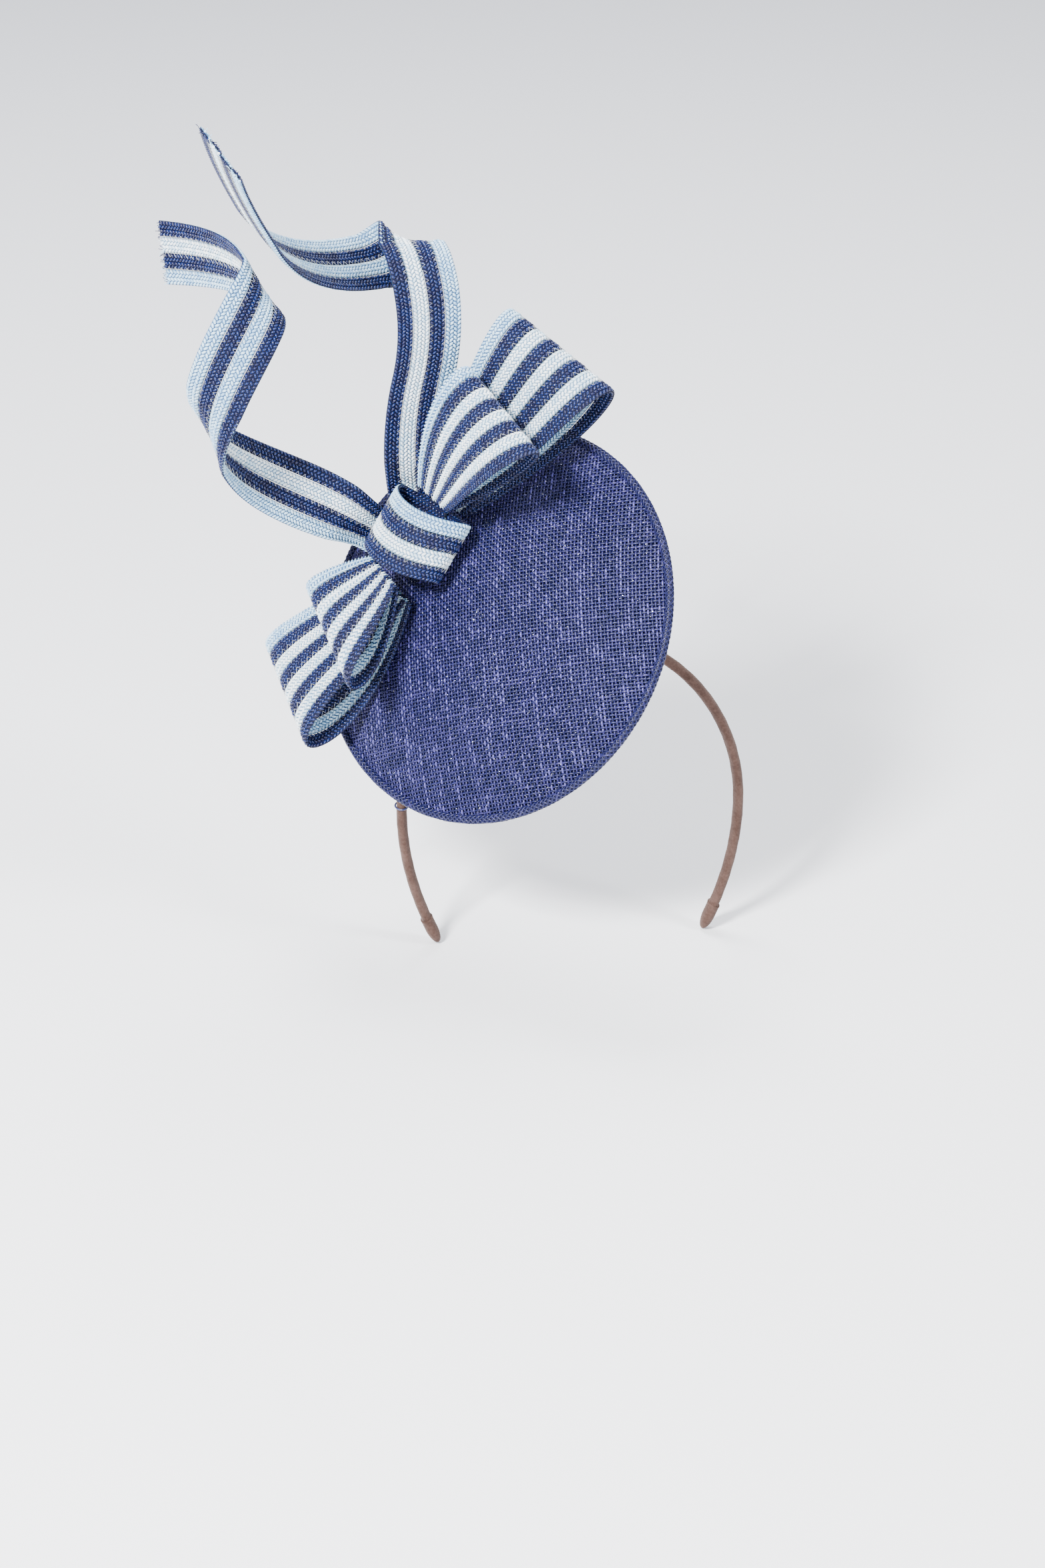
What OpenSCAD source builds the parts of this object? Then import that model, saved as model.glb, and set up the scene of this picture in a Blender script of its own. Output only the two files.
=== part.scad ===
/* [Disc] */
// Radius of the round disc, to the outside of its bound edge
disc_r = 91; // [86:1:96]
// Height of the dome above the plane of the edge
dome_h = 17; // [15:1:19]
// Forward tilt of the disc from level
disc_tilt = 56; // [54:1:58]
// Turn of the disc towards the wearer's right
disc_turn = -44; // [-46:1:-42]

/* [Headband] */
// Half of the headband's width, to its outer face
band_half_w = 79; // [76:1:82]
// Drop from the crown's top to the widest place
band_rise = 88; // [84:1:92]
// Length of each arm below the widest place
arm_drop = 64; // [50:1:70]
// Inward curve of each arm, per square millimetre of drop
arm_curve = 0.0035; // [0.0025:0.0005:0.0045]
// Width of the velvet sleeve, front to back
band_w = 7; // [6:0.5:8]
// Thickness of the velvet sleeve
band_t = 4.5; // [4:0.5:5]

/* [Braid] */
// Width of one braid
braid_w = 7.5; // [7:0.25:8]
// Thickness of one braid
braid_t = 0.9; // [0.7:0.1:1]
// Space left between neighbouring braids
braid_gap = 0.3; // [0.2:0.1:0.6]

/* [Bow] */
// Width of the knot's ring, across the bow
knot_across = 41; // [38:1:44]
// Height of the knot's ring above the disc
knot_high = 25; // [23:1:27]
// Turn of the knot about the disc's own axis
knot_turn = -12; // [-16:1:-8]

/* [Hidden] */
$fn = 64;
navy = [0.14, 0.18, 0.40];
white = [0.92, 0.95, 0.97];
sky = [0.63, 0.77, 0.87];
cloth = [0.22, 0.24, 0.52];
velvet = [0.36, 0.27, 0.25];

// Layers of the disc, each given by how far its top lies below the outer cloth's
disc_at = [-32.5, 13, 3.5];
dome_r = (pow(disc_r, 2) + pow(dome_h, 2)) / (2 * dome_h);
cloth_t = 0.8;
backing_drop = 0.9;
lining_drop = 1.8;
lining_t = 0.5;
bind_r = 1.9;
wire_r = 0.6;
edge_r = disc_r - bind_r;
layer_r = edge_r - wire_r - 0.4;

// The headband's spring, in its sleeve
core_w = 4.2;
core_t = 1.2;
core_slack = 0.15;
core_stop = 5;
tip_len = 9;
tip_wrap = 0.6;

// The felt pad under the disc, in the disc's frame
pad_at = [-12, -41];
pad_size = [44, 20];
pad_turn = 73;

// The bow, in the disc's frame
knot_at = [-36.3, 25, 28.1];
gather_size = [30, 17, 13];
thread_r = 0.45;
anchor_at = [[-8, -5], [8, -5], [-8, 5], [8, 5]];
anchor_len = 12;
stitch_places = [-0.62, -0.56, -0.5, -0.44];
knot_steps = 20;
knot_slit = 3;    // half the slit's angle
knot_bow = 5;     // how far the band's top sags along the bow
knot_lean = 0.5;  // how far the band's sides stand the other way

// A tail's free course starts at a root, with its run and its width's direction
// there, and goes on by steps of [length, bend, twist, edgewise turn]. Its seam is
// where it is sewn to the knot's side, in the disc's frame: its middle there, and
// the line across it.
left_root = [[-80.5, 42.5, 35.5], [-0.83, 0.18, 0.54], [-0.41, 0.47, -0.78]];
left_steps = [[46, 24, 55, 0], [48, 30, 40, 0], [31, 53, 47, 0], [42, 55, 32, 0],
    [21, 55, 35, 0], [76, 43, 24, 0]];
right_root = [[-64, 42, 52], [-0.09, 0.46, 0.88], [0.95, 0.31, -0.07]];
right_steps = [[55, -30, 2, 10], [40, 6, -4, -20], [28, 87, 5, 9], [12, 50, 52, -8],
    [16, 81, 36, -11], [84, 52, 17, -8], [67, 3, -4, 21]];
left_seam = [[-60.6, 20.3, 19.6], [-9.6, -19.3, -1.3]];
right_seam = [[-50.6, 41, 17.3], [21.8, 12.5, -11]];
seam_reach = 22;  // length over which a tail leaves its seam
stride = 8;
tail_n = 4;

// A loop in the disc's frame: its root, the middle of its tip, the line across
// its tip, its height, and how far its middle bows out.
loops = [
    ["upper_outer", [[-33, 35.5, 23.8], [5, 121, 32], [57, -21, -15], 27, -4]],
    ["upper_inner", [[-32.3, 38.5, 32.2], [4, 85, 58], [52, -28, 0], 17, 1.5]],
    ["lower_inner", [[-39.8, 7.3, 36], [-48.4, -32, 46.2], [47, -36, 7], 16, -3.5]],
    ["lower_outer", [[-38, 5, 24.2], [-75, -62, 24.6], [46, -37, 6], 22, -4.5]]];
gather_line = [13, -3, 0];
loop_n = 8;
loop_steps = 18;
loop_mouth = 5;   // angle at which a loop's ends leave the knot
fan = 0.7;        // how soon a loop reaches its full width

RIBBONS = ["knot", "left_tail", "right_tail"];
NODES = [
    "headband_core", "headband_cover", "headband_tip_left", "headband_tip_right",
    "crown_cloth", "crown_backing", "crown_lining", "edge_binding", "brim_wire",
    "headband_pad", "headband_stitches", "bow_gather", "bow_binding", "bow_stitches",
    for (r = RIBBONS, ply = ["face", "back"], i = [1:tail_n]) str(r, "_", ply, "_", i),
    for (l = loops, ply = ["face", "back"], tint = ["navy", "pale"]) str(l[0], "_", ply, "_", tint)];
node = "all";

// ---- sweeping a section along stations ----

function unit(v) = v / norm(v);

// Turns v about the unit axis a by an angle
function spun(v, a, angle) =
    v * cos(angle) + cross(a, v) * sin(angle) + a * (a * v) * (1 - cos(angle));

// Joins rings of points, all of one count, into one closed solid
module skin(rings) {
    count = len(rings[0]);
    last = len(rings) - 1;
    points = [for (ring = rings) each ring];
    sides = [for (i = [0:last - 1], j = [0:count - 1])
        let (a = i * count, b = a + count, k = (j + 1) % count)
        each [[a + j, b + j, b + k], [a + j, b + k, a + k]]];
    start = [for (j = [0:count - 1]) j];
    end = [for (j = [count - 1:-1:0]) last * count + j];
    polyhedron(points, [start, end, each sides], convexity = 8);
}

// One braid of a ribbon. A station is [middle, run, full width]. The braid is number
// i of n across it, and side is 1 for the ply on the ribbon's right-hand normal.
function braid_rings(stations, i, n, side) = [
    for (s = stations)
        let (
            out = unit(cross(s[1], s[2])) * side,
            slot = norm(s[2]) / n,
            trim = min(braid_gap, slot / 5) / slot / 2,
            a = s[0] + s[2] * ((i + trim) / n - 0.5),
            b = s[0] + s[2] * ((i + 1 - trim) / n - 0.5),
            near = out * braid_gap / 4,
            far = out * (braid_gap / 4 + braid_t))
        side > 0 ? [a + near, b + near, b + far, a + far] : [a + far, b + far, b + near, a + near]];

module braid(stations, i, n, side) {
    skin(braid_rings(stations, i, n, side));
}

// ---- headband ----

// The sleeve's outer line over the head, as [x, z] at a place from -1 to 1. The
// crown is half an ellipse, and each arm draws in as a parabola.
arm_share = 0.36;
function band_line(place) =
    let (
        side = sign(place),
        along = abs(place) / (1 - arm_share),
        drop = max(0, (abs(place) - 1 + arm_share) / arm_share) * arm_drop)
    along <= 1
        ? [side * band_half_w * sin(90 * along), band_rise * (cos(90 * along) - 1)]
        : [side * (band_half_w - arm_curve * drop * drop), -band_rise - drop];

// A ring of the band's section, w by t, whose outer face is sunk below the line
function band_ring(place, w, t, sunk, sides = 12) =
    let (
        step = band_line(place + 0.002) - band_line(place - 0.002),
        run = unit([step[0], 0, step[1]]),
        outward = [-run[2], 0, run[0]],
        p = band_line(place),
        middle = [p[0], 0, p[1] + band_t] - outward * (sunk + t / 2))
    [for (j = [0:sides - 1])
        let (angle = 360 * (j + 0.5) / sides)
        middle + outward * t / 2 * cos(angle) - [0, w / 2 * sin(angle), 0]];

function places(from, to, count) = [for (i = [0:count]) from + (to - from) * i / count];

module band_sweep(w, t, sunk, end_place, count, sides = 12) {
    skin([for (p = places(-end_place, end_place, count)) band_ring(p, w, t, sunk, sides)]);
}

core_end = 1 - core_stop / arm_drop * arm_share;

module headband_core() {
    color("silver") band_sweep(core_w, core_t, (band_t - core_t) / 2, core_end, 36, 8);
}

module headband_cover() {
    color(velvet) difference() {
        band_sweep(band_w, band_t, 0, 1, 44);
        band_sweep(core_w + 2 * core_slack, core_t + 2 * core_slack,
            (band_t - core_t) / 2 - core_slack, 1.01, 36, 8);
    }
}

// The folded end of the sleeve: a cap wrapped over the last of one arm
tip_share = tip_len / arm_drop * arm_share;
tip_over = 0.02;
function tip_places(side) =
    let (all = [for (i = [0:7]) side * (1 - tip_share + (tip_share + tip_over) * i / 7)])
    side > 0 ? all : [for (i = [7:-1:0]) all[i]];
function tip_close(place) =
    sqrt(1 - pow(0.94 * max(0, abs(place) - 1 + tip_over) / (2 * tip_over), 2));

module headband_tip(side) {
    grown = 2 * tip_wrap;
    color(velvet) difference() {
        skin([for (p = tip_places(side))
            band_ring(p, (band_w + grown) * tip_close(p), (band_t + grown) * tip_close(p),
                -tip_wrap + (band_t + grown) * (1 - tip_close(p)) / 2)]);
        skin([for (p = places(side * (side > 0 ? 0.9 : 1.001), side * (side > 0 ? 1.001 : 0.9), 8))
            band_ring(p, band_w + 0.1, band_t + 0.1, -0.05)]);
    }
}

// ---- disc ----

module on_disc() {
    translate(disc_at) rotate([disc_tilt, 0, disc_turn]) children();
}

// One layer of the dome, cut off at the radius r
module dome_layer(drop, t, r) {
    rotate_extrude() intersection() {
        translate([0, dome_h - dome_r]) difference() {
            circle(dome_r - drop, $fn = 360);
            circle(dome_r - drop - t, $fn = 360);
        }
        translate([0, -3]) square([r, dome_h + 6]);
    }
}

module crown_cloth() {
    color(cloth) on_disc() dome_layer(0, cloth_t, layer_r);
}

module crown_backing() {
    color(cloth * 0.8) on_disc() dome_layer(backing_drop, cloth_t, layer_r);
}

module crown_lining() {
    color(cloth * 0.5) on_disc() dome_layer(lining_drop, lining_t, layer_r - 3);
}

// The rolled edge: a round roll with the wire's bore and the slot that the cloth enters
module edge_binding() {
    color(cloth) on_disc() rotate_extrude() difference() {
        translate([edge_r, 0]) circle(bind_r);
        translate([edge_r, 0]) circle(wire_r + 0.05);
        intersection() {
            translate([0, dome_h - dome_r]) difference() {
                circle(dome_r + 0.05, $fn = 360);
                circle(dome_r - backing_drop - cloth_t - 0.05, $fn = 360);
            }
            translate([0, -3]) square([layer_r + 0.05, dome_h + 6]);
        }
    }
}

module brim_wire() {
    color("dimgray") on_disc() rotate_extrude() translate([edge_r, 0]) circle(wire_r);
}

// ---- fixing the disc to the headband ----

// A felt pad that fills the space between the lining and the sleeve
module headband_pad() {
    color(cloth * 0.5) difference() {
        on_disc() intersection() {
            translate([0, 0, dome_h - dome_r])
                sphere(dome_r - lining_drop - lining_t - 0.05, $fn = 180);
            translate([pad_at[0], pad_at[1], 0]) rotate(pad_turn)
                linear_extrude(dome_h) offset(5, $fn = 32) square(pad_size - [10, 10], center = true);
        }
        below_band();
    }
}

// All that lies lower than the band's outer face, with a little to spare
module below_band() {
    spare = 0.1;
    skin([for (p = places(-1, 1, 48))
        band_ring(p, band_w + 2 * spare, band_t + 2 * spare, -spare)]);
}

// A turn of thread round a flat bundle, as wide and high as given, in the plane of
// the directions across and up. Its ends nearly meet.
module thread_ring(middle, across, up, w, h, r, count = 20) {
    slit = 4;
    skin([for (i = [0:count])
        let (
            angle = slit + (360 - 2 * slit) * i / count,
            out = unit(across * cos(angle) * h + up * sin(angle) * w),
            side = cross(up, across),
            p = middle + across * w / 2 * cos(angle) + up * h / 2 * sin(angle))
        [for (j = [0:4]) p + (out * cos(72 * j) + side * sin(72 * j)) * r]]);
}

// Four turns of thread round the sleeve, through the pad
module headband_stitches() {
    color(cloth * 0.6) for (p = stitch_places) {
        step = band_line(p + 0.002) - band_line(p - 0.002);
        run = unit([step[0], 0, step[1]]);
        outward = [-run[2], 0, run[0]];
        at = band_line(p);
        thread_ring([at[0], 0, at[1] + band_t] - outward * band_t / 2, [0, 1, 0], outward,
            band_w + 2 * thread_r + 0.3, band_t + 2 * thread_r + 0.3, thread_r);
    }
}

// ---- bow ----

// Places its children at the knot's middle, with X across the bow and Z off the disc
module at_knot() {
    on_disc() translate(knot_at) rotate(knot_turn) children();
}

function disc_turned(v) =
    let (
        y = v[1] * cos(disc_tilt) - v[2] * sin(disc_tilt),
        z = v[1] * sin(disc_tilt) + v[2] * cos(disc_tilt))
    [v[0] * cos(disc_turn) - y * sin(disc_turn), v[0] * sin(disc_turn) + y * cos(disc_turn), z];
function disc_place(p) = disc_at + disc_turned(p);

// The folded ribbons, bound to a firm bundle inside the knot
module bow_gather() {
    color(navy * 0.8) at_knot() rotate([90, 0, 0]) linear_extrude(gather_size[1], center = true)
        hull() for (x = [-1, 1])
            translate([x * (gather_size[0] - gather_size[2]) / 2, 0]) circle(d = gather_size[2], $fn = 32);
}

// Three turns of thread that bind the bundle
module bow_binding() {
    color(navy) at_knot() for (y = [-1.2, 0, 1.2])
        thread_ring([0, y, 0], [1, 0, 0], [0, 0, 1],
            gather_size[0] + 2 * thread_r + 0.1, gather_size[2] + 2 * thread_r + 0.1, thread_r);
}

// Four threads from the bundle down through the disc's layers
module bow_stitches() {
    top = -gather_size[2] / 2;
    color(cloth * 0.6) at_knot() for (p = anchor_at)
        translate([p[0], p[1], top - anchor_len]) cylinder(r = thread_r, h = anchor_len + 0.3, $fn = 16);
}

// A point on the middle of the knot's band, in the disc's frame. The band goes round a
// flattened ring, and its top sags along the bow's length.
function knot_point(angle) =
    let (
        spin = [cos(knot_turn), sin(knot_turn), 0],
        axis = [-sin(knot_turn), cos(knot_turn), 0],
        sag = pow(max(0, sin(angle)), 1.5) * knot_bow - knot_lean)
    knot_at + spin * cos(angle) * knot_across / 2 + [0, 0, 1] * sin(angle) * knot_high / 2
        - axis * sag;

// The knot's stations, with a slit where the band's ends meet below
knot_stations = [
    for (i = [0:knot_steps])
        let (
            angle = -90 + knot_slit + (360 - 2 * knot_slit) * i / knot_steps,
            axis = [-sin(knot_turn), cos(knot_turn), 0],
            run = knot_point(angle + 1) - knot_point(angle - 1))
        [disc_place(knot_point(angle)), disc_turned(unit(run)),
            disc_turned(axis * tail_n * braid_w)]];

// Carries a tail's frame [place, run, across] over one step of its course
function onward(f, step) =
    let (
        out = cross(f[1], f[2]),
        turn = f[1] * step[2] - f[2] * step[1] + out * step[3],
        angle = norm(turn),
        axis = angle > 0 ? turn / angle : out,
        run = spun(f[1], axis, angle))
    [f[0] + (f[1] + run) * step[0] / 2, run, spun(f[2], axis, angle)];

function tail_frames(root, steps) =
    let (
        parts = [for (s = steps) let (n = ceil(s[0] / stride)) for (k = [1:n]) s / n],
        across = unit(root[2] - root[1] * (root[1] * root[2]) / (root[1] * root[1])))
    [for (i = 0, f = [root[0], unit(root[1]), across, 0]; i <= len(parts);
        f = i < len(parts) ? concat(onward(f, parts[i]), f[3] + parts[i][0]) : f, i = i + 1) f];

function tail_stations(root, steps, seam) =
    let (
        frames = tail_frames(root, steps),
        held = [for (f = frames) let (m = max(0, 1 - f[3] / seam_reach)) m * m * (3 - 2 * m)],
        shift = disc_place(seam[0]) - root[0],
        line = disc_turned(seam[1]),
        last = len(frames) - 1,
        spots = [for (i = [0:last]) frames[i][0] + shift * held[i]])
    [for (i = [0:last])
        [spots[i], unit(spots[min(i + 1, last)] - spots[max(i - 1, 0)]),
            frames[i][2] * tail_n * braid_w * (1 - held[i]) + line * held[i]]];

// A point in the middle of a loop, at an angle from 0 at its lower end to 180
function loop_middle(shape, angle) =
    let (
        reach = shape[1] - shape[0],
        rise = cross(shape[2], reach),
        up = unit(rise) * sign(rise[2]),
        q = sin(angle))
    shape[0] + reach * q + up * (shape[4] * 4 * q * (1 - q) - shape[3] / 2 * sin(2 * angle));

function loop_stations(shape) = [
    for (i = [0:loop_steps])
        let (
            angle = loop_mouth + (180 - 2 * loop_mouth) * i / loop_steps,
            opened = pow(sin(angle), fan),
            run = loop_middle(shape, angle + 1) - loop_middle(shape, angle - 1),
            across = gather_line * (1 - opened) + shape[2] * opened)
        [disc_place(loop_middle(shape, angle)), disc_turned(unit(run)), disc_turned(across)]];

left_stations = tail_stations(left_root, left_steps, left_seam);
right_stations = tail_stations(right_root, right_steps, right_seam);

// The face's braids go navy, white, navy and sky, and the back's are the other way
function face_tint(i) = i % 2 == 0 ? navy : (i == 1 ? white : sky);
function back_tint(i) = i % 2 == 0 ? sky : navy;

module left_tail_face(i) {
    color(face_tint(i)) braid(left_stations, i, tail_n, 1);
}

module left_tail_back(i) {
    color(back_tint(i)) braid(left_stations, i, tail_n, -1);
}

module right_tail_face(i) {
    color(face_tint(i)) braid(right_stations, i, tail_n, -1);
}

module right_tail_back(i) {
    color(back_tint(i)) braid(right_stations, i, tail_n, 1);
}

module knot_face(i) {
    color(face_tint(i)) braid(knot_stations, i, tail_n, -1);
}

module knot_back(i) {
    color(back_tint(i)) braid(knot_stations, i, tail_n, 1);
}

// Every second braid of a loop, from the first or from the second, in one ply
function loop_side(shape) = sign(cross(shape[2], shape[1] - shape[0])[2]);

module loop_braids(shape, from, ply) {
    stations = loop_stations(shape);
    for (i = [from:2:loop_n - 1]) braid(stations, i, loop_n, ply * loop_side(shape));
}

module loop_face_navy(shape) {
    color(navy) loop_braids(shape, 1, 1);
}

module loop_face_pale(shape) {
    color(white) loop_braids(shape, 0, 1);
}

module loop_back_navy(shape) {
    color(navy) loop_braids(shape, 1, -1);
}

module loop_back_pale(shape) {
    color(sky) loop_braids(shape, 0, -1);
}

function shown(name) = node == "all" || node == name;

if (shown("headband_core")) headband_core();
if (shown("headband_cover")) headband_cover();
if (shown("headband_tip_left")) headband_tip(-1);
if (shown("headband_tip_right")) headband_tip(1);
if (shown("crown_cloth")) crown_cloth();
if (shown("crown_backing")) crown_backing();
if (shown("crown_lining")) crown_lining();
if (shown("edge_binding")) edge_binding();
if (shown("brim_wire")) brim_wire();
if (shown("headband_pad")) headband_pad();
if (shown("headband_stitches")) headband_stitches();
if (shown("bow_gather")) bow_gather();
if (shown("bow_binding")) bow_binding();
if (shown("bow_stitches")) bow_stitches();
for (i = [1:tail_n]) {
    if (shown(str("knot_face_", i))) knot_face(i - 1);
    if (shown(str("knot_back_", i))) knot_back(i - 1);
    if (shown(str("left_tail_face_", i))) left_tail_face(i - 1);
    if (shown(str("left_tail_back_", i))) left_tail_back(i - 1);
    if (shown(str("right_tail_face_", i))) right_tail_face(i - 1);
    if (shown(str("right_tail_back_", i))) right_tail_back(i - 1);
}
for (loop = loops) {
    if (shown(str(loop[0], "_face_navy"))) loop_face_navy(loop[1]);
    if (shown(str(loop[0], "_face_pale"))) loop_face_pale(loop[1]);
    if (shown(str(loop[0], "_back_navy"))) loop_back_navy(loop[1]);
    if (shown(str(loop[0], "_back_pale"))) loop_back_pale(loop[1]);
}
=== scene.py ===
import itertools
import math

import bpy
import numpy as np
from mathutils import Matrix, Vector


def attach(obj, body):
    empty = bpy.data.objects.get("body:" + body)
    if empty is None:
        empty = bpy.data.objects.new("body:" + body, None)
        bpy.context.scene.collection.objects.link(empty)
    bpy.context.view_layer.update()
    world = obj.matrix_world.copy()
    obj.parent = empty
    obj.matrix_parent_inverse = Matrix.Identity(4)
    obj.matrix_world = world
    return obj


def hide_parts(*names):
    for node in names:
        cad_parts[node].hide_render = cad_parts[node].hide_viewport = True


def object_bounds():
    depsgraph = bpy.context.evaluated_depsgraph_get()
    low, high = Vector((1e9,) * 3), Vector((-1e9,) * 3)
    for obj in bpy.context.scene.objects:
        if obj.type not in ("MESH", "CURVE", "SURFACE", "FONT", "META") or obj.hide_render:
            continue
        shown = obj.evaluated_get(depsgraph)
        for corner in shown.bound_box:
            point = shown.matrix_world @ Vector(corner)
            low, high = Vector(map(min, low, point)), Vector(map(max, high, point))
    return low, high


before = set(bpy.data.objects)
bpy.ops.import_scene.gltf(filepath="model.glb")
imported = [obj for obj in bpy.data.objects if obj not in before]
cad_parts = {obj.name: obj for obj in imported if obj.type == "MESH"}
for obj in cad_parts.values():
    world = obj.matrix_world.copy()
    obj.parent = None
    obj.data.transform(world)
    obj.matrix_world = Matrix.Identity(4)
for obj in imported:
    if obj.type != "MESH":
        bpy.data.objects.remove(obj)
cad_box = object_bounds()

# ---- The view -----------------------------------------------------------------
# The headpiece is looked at from just above the wearer's eye line, a little to the
# wearer's right, through a long lens from across a table.

scene = bpy.context.scene
VIEW_TURN = math.radians(-6)
VIEW_RISE = math.radians(25)
VIEW_FAR = 1.64
VIEW_AT = Vector((0, 0, 0.0045))
LENS_MM = 85
SENSOR_MM = 36
LENS_SHIFT = (-0.0307, -0.0984)
view_way = Vector((math.sin(VIEW_TURN) * math.cos(VIEW_RISE),
                   -math.cos(VIEW_TURN) * math.cos(VIEW_RISE), math.sin(VIEW_RISE)))
lens = bpy.data.cameras.new("view")
lens.lens = LENS_MM
lens.sensor_width = SENSOR_MM
lens.shift_x, lens.shift_y = LENS_SHIFT
camera = bpy.data.objects.new("view", lens)
camera.location = VIEW_AT + view_way * VIEW_FAR
camera.rotation_euler = view_way.to_track_quat("Z", "Y").to_euler()
scene.collection.objects.link(camera)
scene.camera = camera

# ---- The table and the light --------------------------------------------------
# The tips of the headband stand on a pale matte table. Two wide lamps light it from
# the front left and the right, a third rims it from behind, and the room fills the rest.


class Wire:
    """One output of a node. Sums on wires add their maths nodes."""

    def __init__(self, web, socket):
        self.web = web
        self.socket = socket

    def out(self, name):
        given = self.socket.node.outputs
        return Wire(self.web, next(s for s in given if s.enabled and s.name == name))

    def maths(self, operation, first, second=None):
        values = (first,) if second is None else (first, second)
        if all(not isinstance(v, Wire) or v.socket.type != "VECTOR" for v in values):
            return self.web.node("ShaderNodeMath", {"operation": operation}, *values)
        values = [v if isinstance(v, Wire) else (v, v, v) for v in values]
        return self.web.node("ShaderNodeVectorMath", {"operation": operation}, *values)

    def by(self, operation, second=None):
        return self.maths(operation, self, second)

    def __add__(self, other):
        return self.by("ADD", other)

    def __radd__(self, other):
        return self.maths("ADD", other, self)

    def __sub__(self, other):
        return self.by("SUBTRACT", other)

    def __rsub__(self, other):
        return self.maths("SUBTRACT", other, self)

    def __mul__(self, other):
        return self.by("MULTIPLY", other)

    def __rmul__(self, other):
        return self.maths("MULTIPLY", other, self)

    def __truediv__(self, other):
        return self.by("DIVIDE", other)

    def __lt__(self, other):
        return self.by("LESS_THAN", other)

    def __gt__(self, other):
        return self.by("GREATER_THAN", other)


class Web:
    """A node tree that is written as expressions."""

    def __init__(self, tree):
        self.tree = tree

    def join(self, socket, value):
        if isinstance(value, Wire):
            self.tree.links.new(value.socket, socket)
        elif value is not None:
            socket.default_value = value

    def node(self, kind, settings=None, *values, **named):
        made = self.tree.nodes.new(kind)
        for name, value in (settings or {}).items():
            if name == "stops":
                for k, (place, tone) in enumerate(value):
                    stops = made.color_ramp.elements
                    stop = stops[k] if k < 2 else stops.new(place)
                    stop.position = place
                    stop.color = (*tone, 1)
            else:
                setattr(made, name, value)
        taken = [s for s in made.inputs if s.enabled]
        for socket, value in zip(taken, values):
            self.join(socket, value)
        for name, value in named.items():
            self.join(next(s for s in taken if s.name.replace(" ", "_") == name), value)
        given = [s for s in made.outputs if s.enabled]
        return Wire(self, given[0]) if given else None

    def vector(self, x, y, z):
        return self.node("ShaderNodeCombineXYZ", None, x, y, z)

    def axes(self, value):
        """The X, Y and Z of a vector."""
        split = self.node("ShaderNodeSeparateXYZ", None, value)
        return [split.out(axis) for axis in "XYZ"]

    def position(self):
        return self.node("GeometryNodeInputPosition")

    def line(self, count, start, offset):
        return self.node("GeometryNodeMeshLine", None, Count=count, Start_Location=start,
                         Offset=offset)

    def circle(self, sides, radius):
        made = self.node("GeometryNodeCurvePrimitiveCircle", None, Resolution=sides, Radius=radius)
        return made.out("Curve")


def finish(name, **fixed):
    """A new material, its web and its shader, with the shader's fixed values set."""
    material = bpy.data.materials.new(name)
    material.use_nodes = True
    web = Web(material.node_tree)
    shader = material.node_tree.nodes["Principled BSDF"]
    for key, value in fixed.items():
        shader.inputs[key.replace("_", " ")].default_value = value
    return material, web, shader


def own_place(web):
    return web.node("ShaderNodeTexCoord").out("Object")


def bumped(web, shader, height, strength, distance):
    web.join(shader.inputs["Normal"], web.node(
        "ShaderNodeBump", None, Strength=strength, Distance=distance, Height=height))


def toned(web, shader, stops, field):
    """Makes the shader's tone run between stops as a field says."""
    web.join(shader.inputs["Base Color"],
             web.node("ShaderNodeValToRGB", {"stops": stops}, field))


# The far tone is painted shade: the table's colour stands in for the light falling off towards the
# back.
TABLE_NEAR = (0.93, 0.93, 0.94)
TABLE_FAR_SHADE = (0.66, 0.67, 0.71)
TABLE_HALF = 7
TABLE_CLEARANCE = 0.0004
TABLE_SHADE_RATE = 0.45
TABLE_SHADE_FROM = 0.25
LAMP_AIM = Vector((-0.03, 0, 0.03))
ROOM_TONE = (0.80, 0.83, 0.90, 1)
ROOM_STRENGTH = 0.85
table_top = cad_box[0].z - TABLE_CLEARANCE

table_finish, web, shader = finish("table_paint", Roughness=0.75, Specular_IOR_Level=0.25)
# The table's colour grades darker towards the back, a painted shade for the light's falloff.
back_shade = web.axes(own_place(web))[1]
toned(web, shader, [(0.0, TABLE_NEAR), (1.0, TABLE_FAR_SHADE)], back_shade * TABLE_SHADE_RATE + TABLE_SHADE_FROM)
grain = web.node("ShaderNodeTexNoise", None, own_place(web), Scale=90.0, Detail=3.0)
bumped(web, shader, grain, 0.05, 0.0005)

table_mesh = bpy.data.meshes.new("table")
table_mesh.from_pydata([(x * TABLE_HALF, y * TABLE_HALF, table_top)
                        for x, y in ((-1, -1), (1, -1), (1, 1), (-1, 1))], [], [(0, 1, 2, 3)])
table_mesh.materials.append(table_finish)
table = bpy.data.objects.new("table", table_mesh)
scene.collection.objects.link(table)


def lamp(name, place, size, power, tone=(1, 1, 1)):
    light = bpy.data.lights.new(name, "AREA")
    light.shape = "RECTANGLE"
    light.size = size[0]
    light.size_y = size[1]
    light.energy = power
    light.color = tone
    ob = bpy.data.objects.new(name, light)
    ob.location = place
    ob.rotation_euler = (Vector(place) - LAMP_AIM).to_track_quat("Z", "Y").to_euler()
    scene.collection.objects.link(ob)


lamp("front_lamp", place=(-1.1, -1.3, 1.5), size=(0.45, 0.45), power=175)
lamp("side_lamp", place=(1.5, -0.9, 1.3), size=(0.5, 0.7), power=44, tone=(0.95, 0.97, 1))
lamp("rim_lamp", place=(-0.2, 0.9, 1.9), size=(0.9, 0.7), power=55, tone=(0.97, 0.98, 1))

room = bpy.data.worlds.new("room")
room.use_nodes = True
background = room.node_tree.nodes["Background"]
background.inputs["Color"].default_value = ROOM_TONE
background.inputs["Strength"].default_value = ROOM_STRENGTH
scene.world = room

# ---- The headband's spring ----------------------------------------------------
# A strip of tempered steel bent to a head's shape. It is sealed in the sleeve, so the
# frame's own piece is kept and only gets its brushed finish.


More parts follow.
